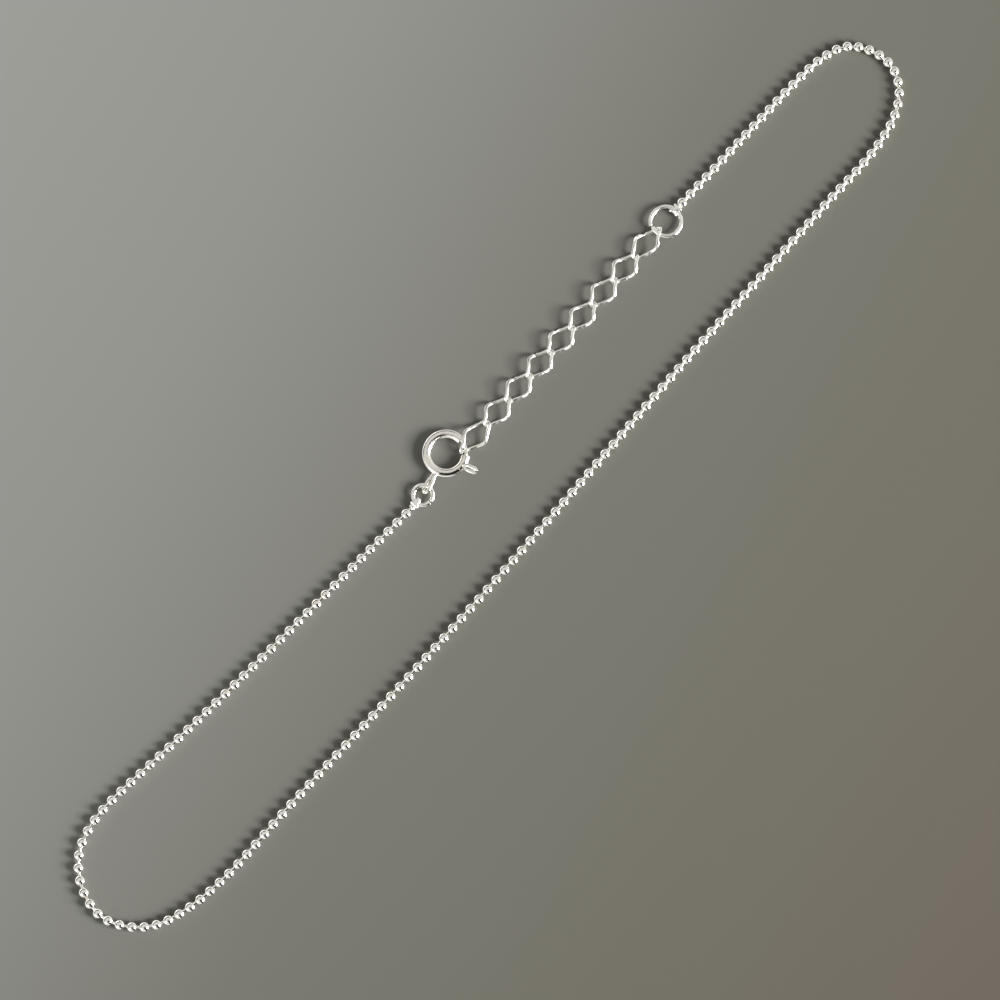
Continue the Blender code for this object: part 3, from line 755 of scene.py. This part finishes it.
def make_strap(name, reach, ring_bore, place, seed, widths, dent, collar):
    """A strap folded round a ring's wire: widths has the widths of its bend and of the narrow part
    over the wire, and the end wall has the full width. A collar of (start, end, radius), from the
    end wall, goes round the chain's end."""
    seat, way = place
    nose, waist = widths
    back = ring_bore - math.sqrt(ring_bore ** 2 - (STRAP_WIDTH / 2) ** 2)
    line = strap_loop(reach, 0.6 * back)
    wave = smooth_noise(len(line), seed, (2, 3), closed=True)
    sections = []
    low = min(point.x for point in line)
    for i, point in enumerate(line):
        along = (point.x - low) / (reach - low)
        past_bend = eased(along, *STRAP_PAST_BEND)
        widening = eased(along, *STRAP_WIDENING)
        width = nose + (waist - nose) * past_bend
        width += (STRAP_WIDTH - width) * widening
        thickness = STRAP_THICKNESS * (0.8 + 0.2 * widening)
        thinning = dent * (1 - past_bend)
        sections.append(strap_section(width * (1 - 0.02 * abs(wave[i])), thickness, thinning))
    start, end, radius = collar
    parts = [sweep(line, sections, closed=True, across=(0, 0, 1)),
             collar_part(reach + start, reach + end, radius)]
    upright = Vector((0, 0, 1))
    frame = Matrix((way, upright, way.cross(upright))).transposed().to_4x4()
    return mesh_piece(name, *joined(parts), Matrix.Translation(seat) @ frame)


# Rings

def make_open_ring(name, radius, wire, cut, matrix, seed, step=0.0):
    """A ring of wire with a cut of (angle, width), a little wavy and with faint flats. With a step
    its last end stands out from the first."""
    cut_angle, cut_width = cut
    half_gap = cut_width / (2 * radius)
    start = cut_angle + half_gap
    turn = math.tau - 2 * half_gap
    wobble = smooth_noise(RING_STEPS + 1, seed, (2, 5, 9))
    line = []
    for i in range(RING_STEPS + 1):
        share = i / RING_STEPS
        lift = step * max(0.0, share - RING_STRAIGHT_FROM) / (1 - RING_STRAIGHT_FROM)
        line.append(polar(radius + lift + RING_WAVE * wobble[i], start + turn * share))
    line, shares = eased_ends(line, wire / 2, 0.35 * wire / 2)
    flats = smooth_noise(len(line), seed + 1, (3, 4, 7))
    sections = []
    for i, share in enumerate(shares):
        size = wire / 2 * share * (1 + 0.015 * wobble[min(i, RING_STEPS)])
        sections.append(round_section(size, 24, flat=max(0.0, 0.25 * flats[i])))
    return mesh_piece(name, *sweep(line, sections), matrix)


def ring_frame(hook, centre):
    """Place and tilt of a ring that lies in the slope from its hook to its centre."""
    slope = (centre - hook).normalized()
    level = Vector((slope.x, slope.y, 0)).normalized()
    return Matrix.Translation(centre) @ level.rotation_difference(slope).to_matrix().to_4x4()


# Extender links

def link_line(half_length, tip_steps, side_steps, run_steps):
    """Middle line of a diamond link with round tips and sides, skewed and twisted."""
    half_width = (LINK_WIDTH - LINK_WIRE) / 2
    run = half_length - LINK_TIP_RADIUS
    rise = half_width - LINK_SIDE_RADIUS
    spread_angle = math.acos((LINK_SIDE_RADIUS - LINK_TIP_RADIUS) / math.hypot(run, rise))
    normal = spread_angle - math.atan2(rise, run)
    side_span = math.pi - 2 * normal
    flat = []
    for turn in (0.0, math.pi):
        tip = [polar(LINK_TIP_RADIUS, -normal + 2 * normal * i / tip_steps) + Vector((run, 0, 0))
               for i in range(tip_steps + 1)]
        side = [polar(LINK_SIDE_RADIUS, normal + side_span * i / side_steps) + Vector((0, rise, 0))
                for i in range(side_steps + 1)]
        next_tip = Vector((-tip[0].x, -tip[0].y, 0))
        rising = [tip[-1].lerp(side[0], i / run_steps) for i in range(1, run_steps)]
        falling = [side[-1].lerp(next_tip, i / run_steps) for i in range(1, run_steps)]
        half = tip + rising + side + falling
        flat.extend(Matrix.Rotation(turn, 3, "Z") @ point for point in half)
    line = []
    for point in flat:
        along = point.x - LINK_SKEW * point.y / half_width * (1 - abs(point.x) / half_length)
        share = along / half_length
        roll = -LINK_TWIST * share * (3 - share * share) / 2
        line.append(Vector((along, point.y * math.cos(roll), point.y * math.sin(roll))))
    return line


def cut_facet(points, centre, normal, depth, radius):
    """Presses the points near centre back to a plane, as a flat cut on the wire."""
    normal = normal / np.linalg.norm(normal)
    height = (points - centre) @ normal
    near = np.linalg.norm(points - centre, axis=1) < radius
    over = near & (height > depth)
    points[over] -= np.outer(height[over] - depth, normal)


def link_mesh(half_length, number):
    """Points and faces of one link: a wavy, slightly squared wire with flat cuts."""
    line = link_line(half_length, tip_steps=14, side_steps=8, run_steps=12)
    count = len(line)
    wobble = smooth_noise(count, 30 + number, (2, 3, 5), closed=True)
    sections = []
    for wave in wobble:
        size = LINK_WIRE / 2 * (1 + 0.02 * wave)
        sections.append(round_section(size, 20, flat=0.18 + 0.12 * wave, turn=0.35))
    points, faces = sweep(line, sections, closed=True)
    points = np.array(points)
    rng = random.Random(60 + number)
    for share in LINK_FACETS:
        middle = np.array(line[int(share * count) % count])
        outward = np.array((middle[0] * 0.15, middle[1], 0.0))
        outward /= np.linalg.norm(outward) + 1e-12
        normal = outward * rng.uniform(0.5, 0.9) + np.array((0, 0, 0.75))
        cut_facet(points, middle, normal, LINK_WIRE / 2 * rng.uniform(0.70, 0.80),
                  rng.uniform(0.00034, 0.00055))
    return list(points), faces


def make_links():
    """The extender's links, from the bolt to the end ring."""
    hooks = extender_hooks()
    links = []
    for i in range(LINK_COUNT):
        near = hooks[i]
        far = hooks[i + 1]
        way = (far - near).normalized()
        near_reach = far_reach = (LINK_WIRE + CLEARANCE) / 2
        roll = 0.0
        if i == 0:
            near_reach = hang(LINK_WIRE, BOLT_WIRE) + BOLT_LINK_SLACK
            roll = END_LINK_ROLL
        if i == LINK_COUNT - 1:
            far_reach = hang(LINK_WIRE, END_RING_WIRE) + RING_LINK_SLACK
            roll = -END_LINK_ROLL
        points, faces = link_mesh(((far - near).length + near_reach + far_reach) / 2, i)
        side = Vector((0, 0, 1)).cross(way).normalized()
        frame = Matrix((way, side, way.cross(side))).transposed().to_4x4()
        middle = (near - way * near_reach + far + way * far_reach) / 2
        matrix = Matrix.Translation(middle) @ frame @ Matrix.Rotation(roll, 4, "X")
        links.append(mesh_piece("link_%02d" % (i + 1), points, faces, matrix))
    return links


# Spring ring clasp

def clasp_matrix():
    return Matrix.Translation(CLASP_CENTRE + Vector((0, 0, CLASP_HEIGHT)))


def clasp_arm(angle, radius):
    """The place on the clasp at an angle and a distance from its middle, with X outwards."""
    return clasp_matrix() @ Matrix.Rotation(angle, 4, "Z") @ Matrix.Translation((radius, 0, 0))


def seam_at(angle):
    """Where the rolled tube's seam lies round its section, and half the seam's width, at an angle
    round the ring. It turns upwards and gapes on one stretch, and is shut elsewhere."""
    away = math.degrees(angle) % 360 - SEAM_ANGLE
    gape = math.exp(-(away / 20.0) ** 2)
    place = math.pi - SEAM_TURN * math.exp(-(away / 40.0) ** 2)
    return place, SEAM_SHUT + SEAM_GAPE * gape


def slot_place():
    """Where round the tube's section the sloping neck of the trigger comes through its wall."""
    height = BOLT_OFFSET * math.sin(SLOT_RISE)
    reach = math.sqrt((CLASP_TUBE / 2) ** 2 - height ** 2) - BOLT_OFFSET * math.cos(SLOT_RISE)
    return math.atan2(reach * math.sin(SLOT_RISE), BOLT_OFFSET + reach * math.cos(SLOT_RISE))


def slot_span():
    """Where round the ring the trigger's slot starts and ends."""
    half_neck = TRIGGER_NECK / 2 / CLASP_RADIUS
    low = TRIGGER_ANGLE - BOLT_TRAVEL - half_neck - SLOT_BEYOND + math.tau
    high = TRIGGER_ANGLE + half_neck + SLOT_CLEARANCE / CLASP_RADIUS + math.tau
    return low, high


def tube_row(angle, slot_low, slot_high):
    """The tube's outer points at an angle round the ring: from the seam's upper edge over the top
    to the slot, across it, and under to the seam."""
    radius = CLASP_TUBE / 2
    place, half = seam_at(angle)
    seam_half = half / radius
    slot_half = SLOT_WIDTH / 2 / radius
    slot_middle = slot_place()
    upper = np.linspace(place - seam_half, slot_middle + slot_half, TUBE_QUARTER + 1)
    lower = np.linspace(slot_middle - slot_half, place + seam_half - math.tau, 2 * TUBE_QUARTER + 1)
    along = (angle - slot_low) / (slot_high - slot_low)
    inward = LIP_BEND * (1 - eased(along, 0.2, 0.5)) if along > 0 else 0.0
    row = []
    for j, v in enumerate([*upper, slot_middle, *lower]):
        below_slot = j - len(upper) - 1
        bend = inward * (1 - eased(below_slot, 0, 5)) if below_slot >= 0 else 0.0
        size = radius * (1 - bend)
        row.append(polar(CLASP_RADIUS + size * math.cos(v), angle, size * math.sin(v)))
    return row


def make_clasp_tube():
    """The bent tube as rolled sheet: a seam along the inside, a slot for the trigger outside."""
    start = CLASP_UPPER_MOUTH
    end = CLASP_LOWER_MOUTH + math.tau
    slot_low, slot_high = slot_span()
    turns = [*np.linspace(start, slot_low, 90), *np.linspace(slot_low, slot_high, 36)[1:],
             *np.linspace(slot_high, end, 10)[1:]]
    bm = bmesh.new()
    rows = [[bm.verts.new(point) for point in tube_row(angle, slot_low, slot_high)]
            for angle in turns]
    for i, (row, following) in enumerate(zip(rows, rows[1:])):
        centre = (turns[i] + turns[i + 1]) / 2
        for j in range(len(row) - 1):
            in_slot = j in (TUBE_QUARTER, TUBE_QUARTER + 1) and slot_low < centre < slot_high
            if not in_slot:
                bm.faces.new((row[j], following[j], following[j + 1], row[j + 1]))
    bmesh.ops.recalc_face_normals(bm, faces=bm.faces)
    loose = [v for v in bm.verts if not v.link_faces]
    bmesh.ops.delete(bm, geom=loose, context="VERTS")
    mesh = bpy.data.meshes.new("clasp_tube")
    bm.to_mesh(mesh)
    bm.free()
    mesh.transform(clasp_matrix())
    mesh.transform(Matrix.Translation(ROOT))
    mesh.shade_smooth()
    tube = bpy.data.objects.new("clasp_tube", mesh)
    bpy.context.scene.collection.objects.link(tube)
    shell = tube.modifiers.new("wall", "SOLIDIFY")
    shell.thickness = CLASP_WALL
    shell.offset = -1.0
    shell.use_even_offset = True
    # The wall's inner side gets the second material, dark silver painted as the shade inside the
    # tube
    shell.material_offset = 1
    round_edges(tube, 0.00002, 2, 50)
    return tube


def make_eyelet():
    """The wire eyelet, soldered to the tube, with the wire's ends a little thicker there."""
    root = CLASP_TUBE / 2 - CLASP_WALL / 2
    knee = root + EYELET_WIRE
    tip_centre = eyelet_reach() - EYELET_HALF_WIDTH
    side = [Vector((root, EYELET_ROOT_HALF_WIDTH, 0)),
            Vector((knee, 1.15 * EYELET_ROOT_HALF_WIDTH, 0)),
            Vector(((knee + tip_centre) / 2, 0.9 * EYELET_HALF_WIDTH, 0))]
    tip = []
    for i in range(9):
        around = math.pi / 2 - math.pi * i / 8
        tip.append(polar(EYELET_HALF_WIDTH, around) + Vector((tip_centre, 0, 0)))
    mirrored = [Vector((point.x, -point.y, 0)) for point in reversed(side)]
    coarse = side + tip + mirrored
    padded = [2 * coarse[0] - coarse[1]] + coarse + [2 * coarse[-1] - coarse[-2]]
    line = []
    for i in range(len(coarse) - 1):
        for k in range(6):
            line.append(catmull_rom(*padded[i:i + 4], k / 6))
    line.append(coarse[-1])
    sections = []
    for point in line:
        melt = max(0.0, 1 - (point.x - root) / (0.6 * EYELET_WIRE))
        sections.append(round_section(EYELET_WIRE / 2 * (1 + 0.35 * melt * melt), 20))
    matrix = clasp_arm(EYELET_ANGLE, CLASP_RADIUS) @ Matrix.Rotation(EYELET_ROLL, 4, "X")
    return mesh_piece("clasp_eyelet", *sweep(line, sections, across=(0, 0, 1)), matrix)


def make_bolt():
    """The bent wire that closes the mouth, with rounded ends."""
    tip = CLASP_UPPER_MOUTH + BOLT_OVERLAP
    tail = TRIGGER_ANGLE - BOLT_TAIL
    steps = 60
    line = [polar(BOLT_RADIUS, tip + (tail - tip) * i / steps) for i in range(steps + 1)]
    line, shares = eased_ends(line, BOLT_WIRE / 2, 0.8 * BOLT_WIRE / 2)
    sections = [round_section(BOLT_WIRE / 2 * share, 20) for share in shares]
    return mesh_piece("clasp_bolt_wire", *sweep(line, sections), clasp_matrix())


def neck_end():
    """Where the trigger's neck ends, outwards and up from the bolt's middle line."""
    reach = CLASP_TUBE / 2 + TRIGGER_NECK_RISE
    return Vector((reach * math.cos(SLOT_RISE), 0, reach * math.sin(SLOT_RISE)))


def trigger_rows():
    """Cross rows of the thumb piece from the bolt outwards: for each, its middle, the direction
    of its thickness, half width, half thickness, rim height and notch."""
    elbow = neck_end()
    tip = CLASP_TUBE / 2 + TRIGGER_LENGTH
    slope = elbow.normalized()
    lean = Matrix.Rotation(TRIGGER_LEAN, 3, "Z")
    rows = []
    for share in (0.0, 0.35, 0.6, 0.8):
        upright = Vector((-slope.z, 0, slope.x))
        rows.append((elbow * share, upright, TRIGGER_NECK / 2, NECK_THICKNESS / 2, 0.0, 0.0))
    for i in range(TRIGGER_ROWS + 1):
        head = i / TRIGGER_ROWS
        reach = (tip - elbow.x) * head
        middle = elbow + lean @ Vector((reach, 0, 0))
        turn = min(1.0, head / 0.12)
        upright = Vector((-slope.z * (1 - turn), 0, slope.x * (1 - turn) + turn)).normalized()
        flare = math.sin(math.pi / 2 * min(1.0, head / 0.34))
        narrowing = 0.16 * max(0.0, (head - 0.5) / 0.5) ** 2
        corner = 0.16 * max(0.0, (head - 0.9) / 0.1) ** 2
        half_width = TRIGGER_NECK / 2 + (TRIGGER_HEAD / 2 - TRIGGER_NECK / 2) * flare
        half_width *= 1 - narrowing - corner
        rim = TRIGGER_RIM * min(1.0, head / 0.3)
        notch = TRIGGER_NOTCH * head ** 4
        rows.append((middle, upright, half_width, NECK_THICKNESS / 2 * 0.8, rim, notch))
    return rows, lean


def make_trigger():
    """The thumb piece: a neck that slopes up through the slot, then a leaning scoop with raised
    rims that ends in two corners. Also the numbers of the faces in the middle of the scoop."""
    rows, lean = trigger_rows()
    across = np.linspace(-1, 1, TRIGGER_COLUMNS)
    tops = []
    bottoms = []
    for i, (middle, upright, half_width, half, rim, notch) in enumerate(rows):
        width_way = lean @ Vector((0, 1, 0)) if i > 3 else Vector((0, 1, 0))
        for a in across:
            back = notch * (1 - eased(abs(a), 0.1, 0.5))
            back += 0.4 * notch * max(0.0, abs(a) - 0.8) / 0.2
            point = middle + width_way * (a * half_width) - (lean @ Vector((back, 0, 0)))
            lift = rim * (0.7 - ((abs(a) - 0.55) / 0.55) ** 2)
            tops.append(point + upright * (half + lift))
            bottoms.append(point + upright * (0.9 * lift - half))
    wide = len(across)
    count = len(rows)
    under = wide * count
    faces = []
    groove = []
    for i in range(count - 1):
        for j in range(wide - 1):
            a = i * wide + j
            # Faces along the scoop's middle get the dark silver, painted shade in its channel
            in_groove = TRIGGER_GROOVE[0] <= i < TRIGGER_GROOVE[1]
            if in_groove and abs(across[j] + across[j + 1]) < 0.12:
                groove.append(len(faces))
            faces.append((a, a + wide, a + wide + 1, a + 1))
            faces.append((under + a, under + a + 1, under + a + wide + 1, under + a + wide))
        left = i * wide
        right = i * wide + wide - 1
        faces.append((left, under + left, under + left + wide, left + wide))
        faces.append((right, right + wide, under + right + wide, under + right))
    last = (count - 1) * wide
    for j in range(wide - 1):
        faces.append((j, j + 1, under + j + 1, under + j))
        faces.append((last + j, under + last + j, under + last + j + 1, last + j + 1))
    matrix = clasp_arm(TRIGGER_ANGLE, BOLT_RADIUS)
    trigger = mesh_piece("clasp_trigger", tops + bottoms, faces, matrix)
    round_edges(trigger, 0.00003, 3, 45)
    return trigger, groove


# Stage

def area_light(name, place, width, height, power):
    """A softbox at a place in the photograph's directions, aimed at the anklet's middle."""
    light = bpy.data.lights.new(name, "AREA")
    light.energy = power
    light.shape = "RECTANGLE"
    light.size = width
    light.size_y = height
    lamp = bpy.data.objects.new(name, light)
    right, up, rise = place
    lamp.location = VIEW_CENTRE + VIEW_RIGHT * right + VIEW_UP * up + Vector((0, 0, rise))
    aim = (VIEW_CENTRE - lamp.location).normalized()
    lamp.rotation_euler = aim.to_track_quat("-Z", "Y").to_euler()
    bpy.context.scene.collection.objects.link(lamp)


def maths(nodes, links, operation, first, second=None):
    """The result of an operation on one or two sockets or numbers."""
    node = nodes.new("ShaderNodeMath")
    node.operation = operation
    for socket, value in zip(node.inputs, (first, second)):
        if isinstance(value, float):
            socket.default_value = value
        elif value is not None:
            links.new(value, socket)
    return node.outputs["Value"]


def grey_ramp(nodes, links, value, stops):
    return ramp(nodes, links, value, [(place, (level, level, level)) for place, level in stops])


def dimmed(nodes, links, first, second, depth):
    """1 less depth where both masks are 1, and 1 where either is 0."""
    both = maths(nodes, links, "MULTIPLY", first, second)
    return maths(nodes, links, "SUBTRACT", 1.0, maths(nodes, links, "MULTIPLY", both, depth))


def make_world():
    """A bright studio: walls of light low down all round and a paler ceiling, with a dark strip
    from overhead to the photograph's lower right, where the camera's holder stands, and a dim
    band high up on the other side."""
    world = bpy.data.worlds.new("studio")
    world.use_nodes = True
    nodes = world.node_tree.nodes
    links = world.node_tree.links
    background = nodes["Background"]
    place = nodes.new("ShaderNodeTexCoord").outputs["Generated"]
    height = dot_node(nodes, links, place, (0, 0, 1))
    glow = ramp(nodes, links, height, GLOW_STOPS)
    strip_way = VIEW_RIGHT * math.cos(HOLDER_WAY) + VIEW_UP * math.sin(HOLDER_WAY)
    sideways = dot_node(nodes, links, place, strip_way.cross((0, 0, 1)))
    aside = maths(nodes, links, "ABSOLUTE", sideways)
    near = grey_ramp(nodes, links, aside, [(0.0, 1.0), (0.19, 1.0), (0.31, 0.0), (1.0, 0.0)])
    ahead = grey_ramp(nodes, links, dot_node(nodes, links, place, strip_way),
                      [(0.0, 0.0), (0.01, 0.0), (0.10, 1.0), (1.0, 1.0)])
    strip = dimmed(nodes, links, near, ahead, STRIP_DEPTH)
    band = grey_ramp(nodes, links, height,
                     [(0.0, 0.0), (0.38, 0.0), (0.46, 1.0), (0.66, 1.0), (0.75, 0.0), (1.0, 0.0)])
    behind = grey_ramp(nodes, links, dot_node(nodes, links, place, -strip_way),
                       [(0.0, 0.0), (0.30, 0.0), (0.50, 1.0), (1.0, 1.0)])
    dim = dimmed(nodes, links, band, behind, BAND_DEPTH)
    shade = nodes.new("ShaderNodeVectorMath")
    shade.operation = "MULTIPLY"
    links.new(glow, shade.inputs[0])
    links.new(maths(nodes, links, "MULTIPLY", strip, dim), shade.inputs[1])
    links.new(shade.outputs["Vector"], background.inputs["Color"])
    bpy.context.scene.world = world


def make_stage():
    """The table, the studio round it and its lights."""
    bpy.ops.mesh.primitive_plane_add(size=4.0, location=(0, 0, 0))
    floor = bpy.context.object
    floor.name = "table"
    floor.data.materials.append(floor_material())
    make_world()
    for light in LIGHTS:
        area_light(*light)
    bpy.context.scene.view_settings.view_transform = "Standard"


def make_camera():
    """The photograph's camera, almost straight above the table."""
    data = bpy.data.cameras.new("camera")
    data.sensor_width = 36.0
    data.lens = 36.0 * VIEW_DISTANCE / VIEW_WIDTH
    data.clip_start = 0.01
    camera = bpy.data.objects.new("camera", data)
    back = (Vector((0, 0, 1)) * math.cos(VIEW_TILT) - VIEW_UP * math.sin(VIEW_TILT)).normalized()
    up = back.cross(VIEW_RIGHT)
    frame = Matrix((VIEW_RIGHT, up, back)).transposed().to_4x4()
    camera.matrix_world = Matrix.Translation(VIEW_CENTRE + back * VIEW_DISTANCE) @ frame
    bpy.context.scene.collection.objects.link(camera)
    bpy.context.scene.camera = camera


def add_chain(bright):
    start, centres, finish = bead_centres()
    for make in (make_beads, make_rods):
        add(make(centres, start, finish), bright, "anklet", ["ball_chain"])


def add_straps(bright):
    clasp_place, extender_place = strap_seats()
    strap = make_strap("strap_clasp_side", CLASP_STRAP_REACH, JUMP_RING_RADIUS - JUMP_RING_WIRE / 2,
                       clasp_place, 3, CLASP_STRAP_WIDTHS, CLASP_STRAP_DENT, CLASP_COLLAR)
    add(strap, bright, "anklet", ["clasp_side_strap"])
    strap = make_strap("strap_extender_side", EXTENDER_STRAP_REACH,
                       END_RING_RADIUS - END_RING_WIRE / 2, extender_place, 4,
                       EXTENDER_STRAP_WIDTHS, EXTENDER_STRAP_DENT, EXTENDER_COLLAR)
    add(strap, bright, "anklet", ["extender_side_strap"])


def add_rings_and_links(linked):
    ring = make_open_ring("ring_small", JUMP_RING_RADIUS, JUMP_RING_WIRE,
                          (JUMP_RING_CUT_ANGLE, JUMP_RING_CUT_WIDTH),
                          ring_frame(jump_ring_hook(), jump_ring_centre()), 11)
    add(ring, linked, "anklet", ["jump_ring"])
    ring = make_open_ring("ring_large", END_RING_RADIUS, END_RING_WIRE,
                          (END_RING_CUT_ANGLE, END_RING_CUT_WIDTH),
                          ring_frame(extender_hooks()[-1], end_ring_centre()), 17, END_RING_STEP)
    add(ring, linked, "anklet", ["end_ring"])
    for i, link in enumerate(make_links()):
        add(link, linked, "anklet", ["extender_link_%02d" % (i + 1)])


def add_clasp(clasp, bright, linked, dark):
    """The clasp's four pieces. The tube's inside and the trigger's groove get dark silver as
    painted shade.
    """
    tube = add(make_clasp_tube(), clasp, "anklet", ["clasp_ring"])
    tube.data.materials.append(dark)
    add(make_eyelet(), clasp, "anklet", ["clasp_ring"])
    add(make_bolt(), bright, "bolt", ["clasp_bolt"])
    trigger, groove = make_trigger()
    add(trigger, linked, "bolt", ["clasp_bolt"])
    trigger.data.materials.append(dark)
    for number in groove:
        trigger.data.polygons[number].material_index = 1


def main():
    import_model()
    make_camera()

    bright = silver(*BRIGHT_SILVER)
    linked = silver(*LINK_SILVER)
    clasp = silver(*CLASP_SILVER)
    dark = shade_painted_silver()
    add_chain(bright)
    add_straps(bright)
    add_rings_and_links(linked)
    add_clasp(clasp, bright, linked, dark)

    make_stage()
    bpy.context.view_layer.update()


main()
